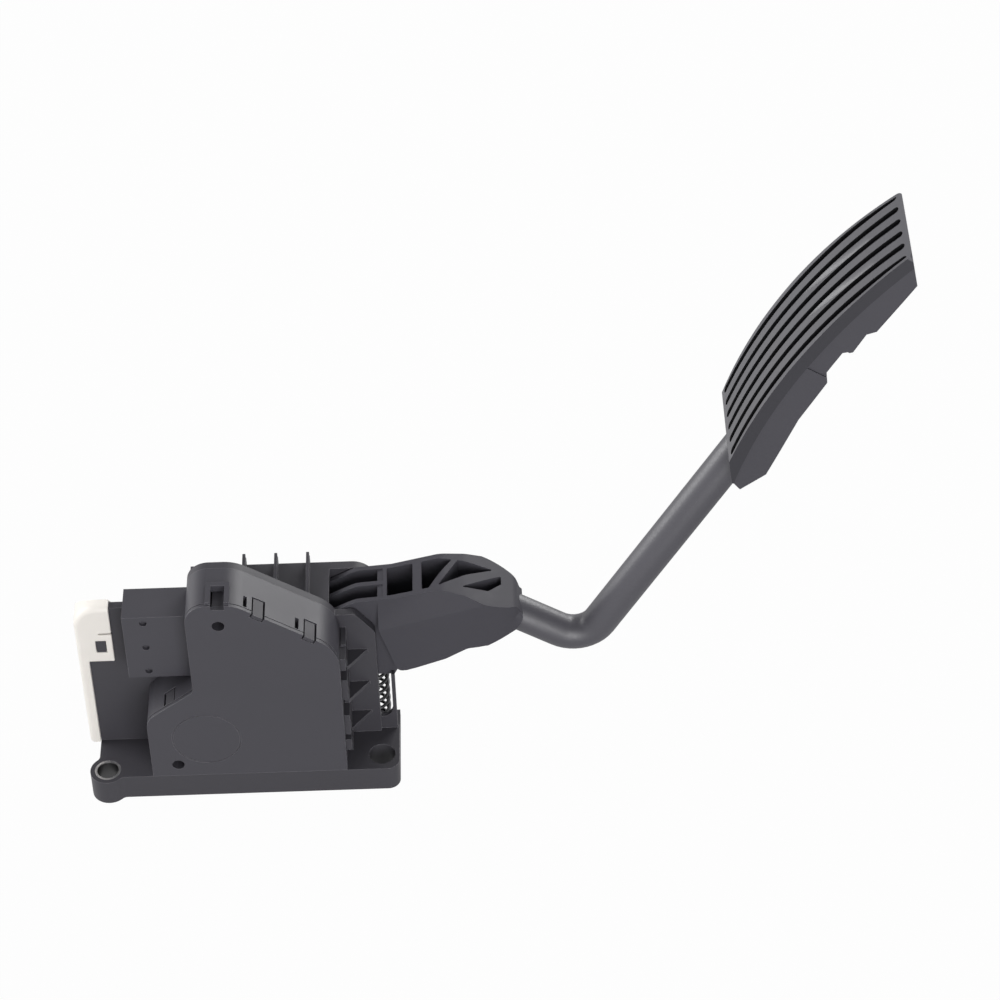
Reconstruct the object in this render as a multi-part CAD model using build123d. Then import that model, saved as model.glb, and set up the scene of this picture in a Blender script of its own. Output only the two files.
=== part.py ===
"""Hanging accelerator pedal: bearing housing, sprung lever, bent tube and ribbed foot pad.

Millimetres. The origin is on the axis of the front-left bolt, at the mounting face.
X runs to the foot pad, Y to the rear wall and Z up from the mounting face.
"""
import os
from math import atan2, cos, degrees, hypot, radians, sin, sqrt

from build123d import *

# Mounting base
base_height = 12.0
base_front = -4.2
base_rear = 48.0
base_left = -3.7
base_right = 118.6
base_corner = 5.0
bay_end = 98.0
ear_radius = 7.2
ear_blend = 3.0
rear_bolt_y = 56.0
ear_neck = 6.0
right_bolt_x = 111.5
right_bolt_y = 4.0
right_bolt_diameter = 10.8
sleeve_outer = 10.6
sleeve_bore = 8.8
core_depth = 8.0
core_length = 17.0
core_width = 17.5
core_rib = 2.6
core_columns = 4
core_rows = 2

# Bearing walls and lever bay
near_wall_front = 17.0
near_wall = 3.5
bay_width = 21.5
far_wall = 4.0
wall_top = 81.0
wall_right = 111.3
wall_round = 9.0
near_ear_top = 79.5
near_ear_cut_x = 103.7
near_ear_cut_z = 69.3
far_foot_rise = 34.0
far_ear_bottom = 50.0
chamber_top = 87.5
chamber_round = 9.0
eave_height = 57.0
roof_step_x = 40.0
roof_right = 93.4
roof_skin = 2.5
gable = 2.5
fin_thickness = 1.2
fin_pitch = 12.8
fin_first_x = 59.4
fin_count = 3
fin_height = 6.0

# Spring lip and post at the right end
lip_thickness = 1.9
lip_height = 18.6
post_width = 1.5
post_top = 43.0
post_right = 118.0
post_round = 5.0
seat_floor = 4.0
seat_rear = 36.2

# Sensor cover
cover_skin = 2.2
cover_left = 38.7
cover_right = 97.5
cover_top = 107.5
cover_slope_start_x = 58.0
cover_slope_end_z = 81.3
shoulder_left = 18.7
shoulder_low = 44.5
shoulder_high = 60.0
shoulder_round = 9.0
shoulder_fillet = 2.4
cover_gap = 0.3
lid_thickness = 1.4
lid_groove = 0.4
window_width = 5.8
window_depth = 9.4
window_overcut = 0.1
arm_width = 4.4
arm_thickness = 2.0
slope_windows = (0.24, 0.73)
shoulder_window = 0.49
hook_height = 2.2
hook_depth = 6.6
hook_lip = 1.6
relief_slot = 1.6
relief_reach = 8.0
relief_offset = 6.0
catch_x = 51.9
catch_width = 9.4
catch_reach = 12.4
catch_height = 1.0
catch_slot = 5.4
catch_slot_reach = 10.3
locator_diameter = 5.0
locator_depth = 5.6
locator_wall = 1.6
upper_locator = (51.6, 96.4)
lower_locator = (29.4, 18.3)
dial_diameter = 28.0
dial_groove = 0.7
dial_groove_depth = 0.3
side_lugs = ((22.6, 6.0), (34.2, 11.0), (54.4, 11.0), (68.6, 6.4))
side_window_front = -0.6
side_window_depth = 9.4

# End wall and gussets between the cover and the near ear
end_wall = 2.0
end_wall_front = 7.0
end_wall_top = 72.6
gusset_heights = (24.5, 41.5, 60.0)
gusset_thickness = 1.7
gusset_reach = 8.2

# Connector box
box_left = 13.0
box_front = 5.0
box_bottom = 60.2
box_top = 93.5
box_back = 21.4
socket_wall = 2.4
socket_depth = 16.0
pit_diameter = 3.0
pit_depth = 1.8
pit_column = 8.2
pit_inset = 3.4
terminal_count = 6
terminal_pitch = 4.0
terminal_width = 2.0
terminal_thickness = 0.8
terminal_reach = 10.0
terminal_leg_x = 46.5

# End cap
cap_thickness = 4.4
cap_round = 2.6
cap_skin = 1.6
cap_reach = 6.6
cap_tab_bottom = 59.2
cap_window_width = 4.2
cap_window_height = 6.6
cap_window_x = 1.9
cap_window_z = 67.3
cap_slit = 0.9
cap_slit_z = 74.3
cap_slit_length = 5.2
cap_fit = 0.3

# Pivot and sensor
pivot_x = 42.0
pivot_z = 33.0
pin_diameter = 10.0
bush_outer = 14.0
bush_clearance = 0.05
ring_outer = 15.0
ring_thickness = 1.2
ring_gap = 0.4
pin_tail = 1.6
carrier_radius = 10.0
carrier_disc = 2.5
carrier_hub_radius = 7.2
carrier_gap = 0.5
magnet_radius = 6.0
magnet_thickness = 2.6
sensor_gap = 0.6
sensor_thickness = 1.0
sensor_size = 4.0
sensor_pitch = 6.0
board_thickness = 1.6
board_back = 2.0
board_post_radius = 2.6
board_right = 78.0
tongue_width = 11.0

# Lever
hub_radius = 14.0
side_gap = 0.7
lever_flare = 4.0
neck_top = 82.0
neck_rise = 1.5
rib_thickness = 2.1
rib_depth = 7.0
rib_start_x = 66.0
cross_wall_x = 115.0
deck_wall = 2.2
deck_web = 1.6
pocket_floor = 60.0
nose_x = 172.0
nose_length = 21.0
nose_collar = 9.4
nose_end_radius = 11.2
nose_flare = 1.15
nose_reach = 80.0
spring_face = 41.0
stop_gap = 0.35
crease_low = 68.6
crease_rise = 16.8
neck_knees = ((62, 57, 12), (90, 74.5, 20), (104, 82, 12))
neck_end = 6.0
beam_left = 112.8
beam_profile = (
    (119.6, 46.4, 2.5),
    (124, 46.8, 0),
    (139, 52.5, 0),
    (148, 58, 6),
    (156, 59, 4),
    (164.4, 54.8, 1.5),
    (170.8, 68.4, 3),
    (168, 75.2, 5),
    (158, 80.6, 0),
    (148, 85.6, 10),
    (138, 87.8, 10),
)
pocket_corner = 0.4
truss_bay_end = 127.0
first_pocket = (130.6, 133.4, 142.8)
second_pocket = (136.8, 145.0, 159.4)
third_pocket = (146.0, 157.0, 162.2)
third_pocket_insets = (0.4, 2.6, 9.0, 2.0)

# Tube
tube_diameter = 14.0
tube_wall = 1.6
tube_entry = (166.9, 65.1)
tube_corner = (195.2, 46.6)
tube_upper = (251.8, 142.7)
tube_bend = 12.0
tube_engagement = 9.0
tube_in_pad = 44.0

# Foot pad
pad_foot = (250.4, 160.1)
pad_angle = 56.5
pad_length = 116.6
pad_crown = 8.0
pad_end_width = 37.6
pad_mid_width = 43.0
pad_corner = 2.6
pad_face = 4.2
pad_skirt = 2.3
pad_heel = (-8.6, -7.3)
pad_toe = (-10.4, -12.3)
pad_underside = (
    (106, -10.2),
    (81.5, -9.7),
    (78.5, -7.2),
    (69.1, -7.8),
    (66.5, -5.0),
    (55.9, -5.4),
    (52.3, -8.2),
    (31.7, -9.8),
    (1.7, -16),
)
pad_rim = 5.2
pad_rim_step = 0.7
pad_relief = (54.2, 68.2)
pad_relief_step = 0.6
groove_count = 6
groove_pitch = 7.1
groove_width = 3.0
groove_depth = 1.7
groove_border = 1.2
groove_end = 2.4
pad_rib = 2.0
pad_rib_places = (14.0, 36.0, 76.0, 96.0)
pad_rib_drop = 6.0
saddle_wall = 2.2

# Return springs
spring_inset = 9.8
spring_y = 28.4
outer_spring_radius = 5.9
outer_wire = 1.35
outer_turns = 7.5
inner_spring_radius = 2.0
inner_wire = 0.9
inner_turns = 9.0
seat_radius = 7.3
seat_thickness = 2.0
spigot_radius = 1.3
spigot_height = 4.0
spring_gap = 0.3

# Friction brake on the hub
shoe_width = 14.0
shoe_height = 18.0
shoe_back = 16.0
shoe_gap = 0.3
abutment_x = 1.6
abutment_thickness = 2.6
abutment_top = 44.0
brake_spring_radius = 4.0
brake_wire = 1.2
brake_turns = 4.5

# Idle stop
bumper_left = 82.0
bumper_length = 7.0
bumper_width = 9.0

near_wall_back = near_wall_front + near_wall
far_wall_front = near_wall_back + bay_width
far_wall_back = far_wall_front + far_wall
bay_middle = (near_wall_back + far_wall_front) / 2
lever_near = near_wall_back + side_gap
lever_far = far_wall_front - side_gap
lever_wide_near = lever_near - lever_flare
lever_wide_far = lever_far + lever_flare
cover_inner_front = base_front + cover_skin
seat_top = seat_floor + seat_thickness
spring_x = base_right - spring_inset
spring_top = spring_face - spring_gap
slope_run = cover_right - cover_slope_start_x
slope_fall = cover_top - cover_slope_end_z
shoulder_run = cover_left - shoulder_left
shoulder_rise = shoulder_high - shoulder_low
slope_length = hypot(slope_run, slope_fall)
nose_lead = nose_end_radius / nose_flare / 2
crown_radius = (pad_length**2 / 4 + pad_crown**2) / (2 * pad_crown)


def rounded(*corners):
    """Closed face through corners given as (u, v, radius)."""
    points = [(u, v) for u, v, _ in corners]
    radii = [radius for _, _, radius in corners]
    return make_face(FilletPolyline(*points, radius=radii, close=True))


def polygon(*points):
    return make_face(Polyline(*points, close=True))


def across(face, y_start, y_end):
    """A face drawn in X and Z, carried along Y."""
    return extrude(Plane.XZ.offset(-y_start) * face, amount=y_end - y_start, dir=(0, 1, 0))


def along(face, x_start, x_end):
    """A face drawn in Y and Z, carried along X."""
    return extrude(Plane.YZ.offset(x_start) * face, amount=x_end - x_start, dir=(1, 0, 0))


def upward(face, z_start, z_end):
    """A face drawn in X and Y, carried along Z."""
    return extrude(Plane.XY.offset(z_start) * face, amount=z_end - z_start, dir=(0, 0, 1))


def block(x_start, x_end, y_start, y_end, z_start, z_end):
    centre = Pos((x_start + x_end) / 2, (y_start + y_end) / 2, (z_start + z_end) / 2)
    return centre * Box(x_end - x_start, y_end - y_start, z_end - z_start)


def pivot_rod(radius, y_start, y_end):
    """A round bar on the pivot axis."""
    return across(Pos(pivot_x, pivot_z) * Circle(radius), y_start, y_end)


def cover_outline(inset=0.0):
    """The cover's front outline, or the same outline set inwards and left open at the foot."""
    slope_drop = inset * slope_length / slope_run
    shoulder_drop = inset * hypot(shoulder_run, shoulder_rise) / shoulder_run
    top = cover_top - inset
    crest_x = cover_slope_start_x - (slope_drop - inset) * slope_run / slope_fall
    slope_foot = cover_slope_end_z - slope_drop + inset * slope_fall / slope_run
    shoulder_shift = inset * shoulder_rise / shoulder_run - shoulder_drop
    return rounded(
        (shoulder_left + inset, base_height, 0),
        (shoulder_left + inset, shoulder_low + shoulder_shift, shoulder_round - inset),
        (cover_left + inset, shoulder_high + shoulder_shift, shoulder_fillet + inset),
        (cover_left + inset, top, 9 - inset),
        (crest_x, top, 15 - inset),
        (cover_right - inset, slope_foot, 17 - inset),
        (cover_right - inset, base_height, 0),
    )


def on_edge(start, run, rise, share, depth):
    """Place on a straight edge of the cover's outline, sunk by depth and turned to lie along it."""
    length = hypot(run, rise)
    x = start[0] + share * run + depth * rise / length
    z = start[1] + share * rise - depth * run / length
    return Pos(x, z) * Rot(0, 0, degrees(atan2(rise, run)))


def on_slope(share, depth):
    return on_edge((cover_slope_start_x, cover_top), slope_run, -slope_fall, share, depth)


def on_shoulder(share, depth):
    return on_edge((shoulder_left, shoulder_low), shoulder_run, shoulder_rise, share, depth)


def snap_places(depth):
    """Places of the snap windows, at a depth below the cover's skin."""
    return [on_slope(share, depth) for share in slope_windows] + [on_shoulder(shoulder_window, depth)]


def roof_height(y):
    """Outer height of the sloping roof over the closed end of the bay."""
    fall = (chamber_top - eave_height) / (far_wall_back - near_wall_back)
    return chamber_top - fall * (y - near_wall_back)


def bay_section(grow=0.0):
    """Outer section of the closed end of the bay, in Y and Z."""
    return polygon(
        (near_wall_front - grow, 0),
        (near_wall_front - grow, chamber_top + grow),
        (near_wall_back, chamber_top + grow),
        (far_wall_back + grow, eave_height + grow / 2),
        (far_wall_back + grow, 0),
    )


def bay_profile(grow=0.0, end_grow=0.0, right=roof_step_x):
    """Front profile of the closed end of the bay, in X and Z, with its large upper round."""
    return rounded(
        (base_left - end_grow, 0, 0),
        (base_left - end_grow, chamber_top + grow, chamber_round + grow),
        (right, chamber_top + grow, 0),
        (right, 0, 0),
    )


def bay_envelope(grow=0.0, end_grow=0.0, right=roof_step_x):
    section = along(bay_section(grow), base_left - end_grow, right)
    return section & across(bay_profile(grow, end_grow, right), near_wall_front - grow, far_wall_back + grow)


def bay_cavity():
    drop = roof_skin * hypot(chamber_top - eave_height, far_wall_back - near_wall_back)
    drop = drop / (far_wall_back - near_wall_back)
    section = polygon(
        (near_wall_back, base_height),
        (near_wall_back, roof_height(near_wall_back) - drop),
        (far_wall_front, roof_height(far_wall_front) - drop),
        (far_wall_front, base_height),
    )
    return along(section, base_left, roof_step_x)


def base_plate():
    outline = rounded(
        (base_left, base_front, 0),
        (base_right, base_front, base_corner),
        (base_right, near_wall_back, 0),
        (bay_end, near_wall_back, 0),
        (bay_end, base_rear, 0),
        (base_left, base_rear, 0),
    )
    outline += polygon(
        (base_left, base_rear), (ear_neck, base_rear), (ear_neck, rear_bolt_y), (base_left, rear_bolt_y)
    )
    for bolt_y in (0.0, rear_bolt_y):
        outline += Pos(0, bolt_y) * Circle(ear_radius)
        meets = [v for v in outline.vertices() if abs(hypot(v.X, v.Y - bolt_y) - ear_radius) < 0.01]
        outline = fillet(meets, ear_blend)
    plate = upward(outline, 0, base_height)
    plate += block(bay_end, base_right, near_wall_back, seat_rear, 0, seat_floor)
    cores = GridLocations(core_length + core_rib, core_width + core_rib, core_columns, core_rows)
    middle = Pos((base_left + bay_end) / 2 + core_rib, (base_front + base_rear) / 2)
    for place in cores:
        plate -= upward(middle * place * Rectangle(core_length, core_width), 0, core_depth)
    for bolt_y in (0.0, rear_bolt_y):
        plate -= upward(Pos(0, bolt_y) * Circle(sleeve_outer / 2), 0, base_height)
    return plate - upward(Pos(right_bolt_x, right_bolt_y) * Circle(right_bolt_diameter / 2), 0, base_height)


def near_bearing_wall():
    ear = rounded(
        (cover_left, base_height, 0),
        (cover_left, near_ear_top, 0),
        (near_ear_cut_x, near_ear_top, 3),
        (wall_right, near_ear_cut_z, 4),
        (wall_right, base_height, 0),
    )
    wall = across(ear + cover_outline(), near_wall_front, near_wall_back)
    window_top = post_top + base_height
    lip = polygon(
        (wall_right, base_height), (post_right, base_height), (post_right, post_top), (wall_right, post_top)
    )
    opening = rounded(
        (wall_right, lip_height, 0),
        (post_right - post_width, lip_height, post_round),
        (post_right - post_width, window_top, 0),
        (wall_right, window_top, 0),
    )
    return wall + across(lip - opening, near_wall_back - lip_thickness, near_wall_back)


def far_bearing_wall():
    outline = rounded(
        (roof_step_x, base_height, 0),
        (roof_step_x, wall_top, 0),
        (wall_right, wall_top, wall_round),
        (wall_right, far_ear_bottom, 3),
        (bay_end, far_foot_rise, 3),
        (bay_end, base_height, 0),
    )
    return across(outline, far_wall_front, far_wall_back)


def roof():
    skin = block(roof_step_x, roof_right, near_wall_back, far_wall_back, wall_top - roof_skin, wall_top)
    fall = (chamber_top - eave_height) / (far_wall_back - near_wall_back)
    crossing = near_wall_back + (chamber_top - wall_top) / fall
    gable_face = polygon(
        (near_wall_back, wall_top - roof_skin),
        (near_wall_back, chamber_top),
        (crossing, wall_top),
        (far_wall_back, wall_top),
        (far_wall_back, eave_height - roof_skin),
        (far_wall_front, roof_height(far_wall_front) - 2 * roof_skin),
        (crossing, wall_top - 2 * roof_skin),
    )
    top = skin + along(gable_face, roof_step_x - gable, roof_step_x)
    fin_face = polygon(
        (near_wall_back, wall_top - roof_skin / 2),
        (near_wall_back, wall_top + fin_height / 3),
        (far_wall_back - fin_height / 2, wall_top + fin_height),
        (far_wall_back, wall_top + fin_height),
        (far_wall_back, wall_top - roof_skin / 2),
    )
    for index in range(fin_count):
        fin_x = fin_first_x + index * fin_pitch
        top += along(fin_face, fin_x - fin_thickness / 2, fin_x + fin_thickness / 2)
        top += block(
            fin_x - fin_thickness / 2, fin_x + fin_thickness / 2,
            far_wall_back, base_rear, base_height, wall_top + fin_height / 3,
        )
    return top


def snap_arms():
    """Arms that run forward under the cover, with hooks that rise into its windows."""
    arms = []
    arm_front = cover_inner_front + cover_gap
    arm_depth = cover_skin + cover_gap + arm_thickness / 2
    for place in snap_places(arm_depth) + [Pos(catch_x, cover_top - arm_depth)]:
        arms.append(across(place * Rectangle(arm_width, arm_thickness), arm_front, near_wall_front))
    for place in snap_places(cover_skin + cover_gap - hook_height / 2):
        arms.append(across(place * Rectangle(arm_width, hook_height), arm_front, arm_front + hook_depth))
    for share in slope_windows:
        lip = on_slope(share, cover_skin - cover_gap - hook_lip / 2) * Rectangle(arm_width, hook_lip)
        arms.append(across(lip, base_front, arm_front + hook_depth))
    return arms


def gusset_corner():
    wall_x = cover_right + cover_gap
    corner = block(wall_x, wall_x + end_wall, end_wall_front, near_wall_front, base_height, end_wall_top)
    corner_x = wall_x + end_wall
    plan = polygon(
        (corner_x, near_wall_front), (corner_x + gusset_reach, near_wall_front), (corner_x, end_wall_front)
    )
    for height in gusset_heights:
        corner += upward(plan, height - gusset_thickness, height)
    for height, size in side_lugs:
        corner += block(
            cover_right - cover_skin, wall_x + end_wall,
            side_window_front + cover_gap, end_wall_front,
            height - size / 2, height + size / 2,
        )
    return corner


def board_corners():
    """Outline of the circuit board, in X and Z: a body at the pivot and a tongue up to the terminals."""
    clear = 2 * cover_skin
    boss = locator_diameter / 2 + locator_wall + cover_gap
    low_x = lower_locator[0] + boss
    low_z = base_height + clear
    waist_x = shoulder_left + 2 * clear
    tongue_left = cover_left + clear
    tongue_right = tongue_left + tongue_width
    tongue_top = upper_locator[1] - boss
    return (
        (low_x, low_z),
        (board_right, low_z),
        (board_right, shoulder_high),
        (tongue_right, shoulder_high + clear),
        (tongue_right, tongue_top),
        (tongue_left, tongue_top),
        (tongue_left, shoulder_high - clear),
        (waist_x, shoulder_low - clear),
        (waist_x, lower_locator[1] + boss),
        (low_x, lower_locator[1] + boss),
    )


def board_posts():
    """Posts from the near wall that carry the circuit board."""
    inset = 2 * board_post_radius
    right = board_right - inset
    low = base_height + 2 * cover_skin + inset
    middle = cover_left + 2 * cover_skin + tongue_width / 2
    posts = Sketch()
    for x, z in ((right, low), (right, shoulder_high - inset), (middle, shoulder_high)):
        posts += Pos(x, z) * Circle(board_post_radius)
    return across(posts, board_back, near_wall_front)


def brake_seat():
    """Wall behind the friction spring and the ledge under the friction shoe."""
    wall = block(
        abutment_x, abutment_x + abutment_thickness,
        near_wall_back, far_wall_front, base_height, abutment_top,
    )
    ledge_top = pivot_z - shoe_height / 2
    ledge = block(
        shoe_back - 2, pivot_x - hub_radius - 2,
        bay_middle - shoe_width / 2, bay_middle + shoe_width / 2,
        base_height, ledge_top,
    )
    return wall + ledge


def cap_hook():
    """Low hook on the near wall that rises into the cap's window."""
    half_width = cap_window_width / 2 - cap_fit
    half_height = cap_window_height / 2 - cap_fit
    return block(
        cap_window_x - half_width, cap_window_x + half_width,
        near_wall_front - cap_skin + cap_fit, near_wall_front,
        cap_window_z - half_height, cap_window_z + half_height,
    )


def make_housing():
    body = base_plate() + (bay_envelope() - bay_cavity())
    body += near_bearing_wall()
    body += far_bearing_wall()
    body += roof()
    body += gusset_corner()
    for arm in snap_arms():
        body += arm
    body += board_posts()
    body += brake_seat()
    body += cap_hook()
    bush_hole = pivot_rod(bush_outer / 2, near_wall_front, near_wall_back)
    return body - bush_hole - pivot_rod(bush_outer / 2, far_wall_front, far_wall_back)


def make_sensor_cover():
    cover = across(cover_outline(), base_front, near_wall_front)
    cover -= across(cover_outline(cover_skin), cover_inner_front, near_wall_front)
    for x, z in (upper_locator, lower_locator):
        boss = Pos(x, z) * Circle(locator_diameter / 2 + locator_wall)
        cover += across(boss, cover_inner_front, base_front + locator_depth + locator_wall)
        cover -= across(Pos(x, z) * Circle(locator_diameter / 2), base_front, base_front + locator_depth)
    half_catch = catch_width / 2
    cover += block(
        catch_x - half_catch, catch_x + half_catch,
        base_front + catch_height, base_front + catch_reach,
        cover_top - cover_skin / 2, cover_top + catch_height,
    )
    cover -= block(
        catch_x - catch_slot / 2, catch_x + catch_slot / 2,
        base_front, base_front + catch_slot_reach,
        cover_top - cover_skin, cover_top + catch_height,
    )
    opening_depth = 2 * (cover_skin + window_overcut)
    for place in snap_places(0):
        window = place * Rectangle(window_width, opening_depth)
        cover -= across(window, cover_inner_front, base_front + window_depth)
    for share in slope_windows:
        notch = on_slope(share, 0) * Rectangle(window_width, 2 * cover_skin)
        cover -= across(notch, base_front, cover_inner_front)
        beside = on_slope(share - relief_offset / slope_length, 0)
        slot = beside * Rectangle(relief_slot, opening_depth)
        cover -= across(slot, cover_inner_front, base_front + relief_reach)
    for height, size in side_lugs:
        cover -= block(
            cover_right - cover_skin - window_overcut, cover_right,
            side_window_front, side_window_front + side_window_depth,
            height - size / 2 - cover_gap, height + size / 2 + cover_gap,
        )
    lid_line = cover_outline() - cover_outline(lid_groove)
    cover -= across(lid_line, base_front + lid_thickness, base_front + lid_thickness + lid_groove)
    groove = Circle(dial_diameter / 2) - Circle(dial_diameter / 2 - dial_groove)
    cover -= across(Pos(pivot_x, pivot_z) * groove, base_front, base_front + dial_groove_depth)
    terminal_way = block(
        cover_left, cover_left + cover_skin, box_front + socket_wall, near_wall_front,
        box_bottom + socket_wall, box_top - socket_wall,
    )
    return cover - terminal_way


def terminal_heights():
    middle = (box_bottom + chamber_top) / 2
    first = middle - terminal_pitch * (terminal_count - 1) / 2
    return [first + index * terminal_pitch for index in range(terminal_count)]


def terminal_depth():
    return (box_front + near_wall_front) / 2


def make_connector_housing():
    body = block(box_left, cover_left, box_front, near_wall_front, box_bottom, box_top)
    body += block(box_left, cover_left, near_wall_front, box_back, chamber_top, box_top)
    body -= block(
        box_left, box_left + socket_depth, box_front + socket_wall, near_wall_front - socket_wall,
        box_bottom + socket_wall, chamber_top - socket_wall,
    )
    pit_rows = (box_bottom + pit_inset, (box_bottom + box_top) / 2, box_top - pit_inset)
    for height in pit_rows:
        pit = Pos(box_left + pit_column, height) * Circle(pit_diameter / 2)
        body -= across(pit, box_front, box_front + min(pit_depth, socket_wall - 0.6))
    for height in terminal_heights():
        body -= terminal_blade(height)
    return body - across(cover_outline(), base_front, near_wall_front)


def terminal_blade(height):
    y = terminal_depth()
    return block(
        box_left + socket_depth - terminal_reach, terminal_leg_x,
        y - terminal_thickness / 2, y + terminal_thickness / 2,
        height - terminal_width / 2, height + terminal_width / 2,
    )


def make_terminals():
    blades = []
    for height in terminal_heights():
        leg = block(
            terminal_leg_x - terminal_thickness, terminal_leg_x,
            board_back, terminal_depth() - terminal_thickness / 2,
            height - terminal_width / 2, height + terminal_width / 2,
        )
        blades.append(terminal_blade(height) + leg)
    return Compound(children=blades)


def make_end_cap():
    front = near_wall_front - cap_skin
    rear = far_wall_back + cap_skin
    outer = bay_envelope(cap_skin, cap_thickness, cap_reach)
    near_edges = [edge for edge in outer.edges() if all(abs(v.Y - front) < 0.01 for v in edge.vertices())]
    soft_edges = [
        edge for edge in near_edges
        if edge.center().X < cap_reach - cap_fit and edge.center().Z > base_height
    ]
    cap = fillet(soft_edges, cap_round) - bay_envelope(0.0, 0.0, cap_reach)
    cap -= block(base_left, cap_reach, front, rear, 0, cap_tab_bottom)
    cap -= block(base_left - cap_thickness, base_left, front, rear, 0, base_height + cap_fit)
    cap -= block(
        cap_window_x - cap_window_width / 2, cap_window_x + cap_window_width / 2,
        front, near_wall_front,
        cap_window_z - cap_window_height / 2, cap_window_z + cap_window_height / 2,
    )
    return cap - block(
        cap_reach - cap_slit_length, cap_reach,
        front, near_wall_front,
        cap_slit_z - cap_slit / 2, cap_slit_z + cap_slit / 2,
    )


def make_mounting_sleeves():
    ring = Circle(sleeve_outer / 2) - Circle(sleeve_bore / 2)
    return Compound(children=[upward(Pos(0, y) * ring, 0, base_height) for y in (0.0, rear_bolt_y)])


def make_bush(y_start, y_end):
    bore = pivot_rod(pin_diameter / 2 + bush_clearance, y_start, y_end)
    return pivot_rod(bush_outer / 2, y_start, y_end) - bore


def magnet_front():
    return board_back + sensor_thickness + sensor_gap


def carrier_front():
    return magnet_front() + magnet_thickness


def make_pivot_pin():
    return pivot_rod(pin_diameter / 2, carrier_front(), far_wall_back + ring_gap + ring_thickness + pin_tail)


def make_pin_retaining_ring():
    start = far_wall_back + ring_gap
    ring = pivot_rod(ring_outer / 2, start, start + ring_thickness)
    return ring - pivot_rod(pin_diameter / 2, start, start + ring_thickness)


def make_magnet_carrier():
    disc = pivot_rod(carrier_radius, carrier_front(), carrier_front() + carrier_disc)
    hub = pivot_rod(carrier_hub_radius, carrier_front(), near_wall_front - carrier_gap)
    return disc + hub - pivot_rod(pin_diameter / 2, carrier_front(), near_wall_front)


def make_magnet():
    return pivot_rod(magnet_radius, magnet_front(), carrier_front())


def make_circuit_board():
    return across(polygon(*board_corners()), board_back - board_thickness, board_back)


def make_hall_sensors():
    chips = []
    for side in (-1, 1):
        chip = Pos(pivot_x + side * sensor_pitch / 2, pivot_z) * Rectangle(sensor_size, sensor_size)
        chips.append(across(chip, board_back, board_back + sensor_thickness))
    return Compound(children=chips)


def tube_path(extra=0.0):
    """Centreline in X and Z, from inside the lever, round the bend and up under the pad."""
    entry = Vector(*tube_entry)
    corner = Vector(*tube_corner)
    upper = Vector(*tube_upper)
    start = entry - (corner - entry).normalized() * tube_engagement
    end = upper + (upper - corner).normalized() * (tube_in_pad + extra)
    points = [(p.X, bay_middle, p.Y) for p in (start, corner, end)]
    return FilletPolyline(*points, radius=tube_bend)


def tube_solid(radius, extra=0.0):
    path = tube_path(extra)
    return sweep(Plane(origin=path @ 0, z_dir=path % 0) * Circle(radius), path=path)


def make_pedal_tube():
    path = tube_path()
    ring = Circle(tube_diameter / 2) - Circle(tube_diameter / 2 - tube_wall)
    return sweep(Plane(origin=path @ 0, z_dir=path % 0) * ring, path=path)


def neck_outline(drop=0.0):
    """Hub arm and neck in X and Z; drop lowers its upper line."""
    return rounded(
        (pivot_x, pivot_z + hub_radius - drop, 0),
        *[(x, z - drop, radius) for x, z, radius in neck_knees],
        (cross_wall_x + neck_end, neck_top + neck_rise - drop, 0),
        (cross_wall_x + neck_end, spring_face + neck_end, 0),
        (cross_wall_x + neck_end / 2, spring_face, 0),
        (bay_end + rib_thickness, spring_face, 8),
        (pivot_x + hub_radius / 2, pivot_z - hub_radius + neck_rise, 0),
        (pivot_x, pivot_z - hub_radius, 0),
    )


def beam_outline():
    """Side view of the lever's broad outer beam, in X and Z."""
    upper = crease_low + 1
    return rounded((beam_left, upper, 0), *beam_profile, (beam_left, neck_top, 0))


def tube_mouth():
    """Plane outside the lever's end, with its normal back along the tube."""
    entry = Vector(tube_entry[0], bay_middle, tube_entry[1])
    corner = Vector(tube_corner[0], bay_middle, tube_corner[1])
    outward = (corner - entry).normalized()
    return Plane(origin=entry + outward * nose_lead, z_dir=outward * -1)


def nose_plan():
    """Plan of the beam, with a long round nose and a collar about the tube itself."""
    half_width = (lever_wide_far - lever_wide_near) / 2
    nose_start = nose_x - nose_length
    straight = nose_start - beam_left + deck_wall
    plan = Pos(nose_start - straight / 2, bay_middle) * Rectangle(straight, 2 * half_width)
    plan += Pos(nose_start, bay_middle) * Ellipse(nose_length, half_width)
    collar = tube_mouth() * extrude(Circle(nose_collar), amount=nose_lead + 2 * tube_engagement)
    return upward(plan, 0, cover_top) + collar


def nose_cone():
    """Cone about the tube that narrows the beam towards its mouth."""
    narrow = nose_end_radius - nose_flare * nose_lead
    wide = narrow + nose_flare * nose_reach
    return tube_mouth() * Cone(narrow, wide, nose_reach, align=(Align.CENTER, Align.CENTER, Align.MIN))


def side_bevel():
    """Wedge that leans the beam's upper side in from the crease to the deck's edge."""
    reach = crease_low + 2 * crease_rise
    lean = lever_flare / (neck_top - crease_low - 1)

    def section(x, crease):
        far_y = lever_wide_near + lean * (reach - crease)
        return Plane.YZ.offset(x) * polygon(
            (lever_wide_near, crease), (far_y, reach), (0, reach), (0, crease)
        )

    low_end = section(beam_left - deck_wall, crease_low)
    return loft([low_end, section(nose_x - lever_flare, crease_low + crease_rise)], ruled=True)


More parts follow.
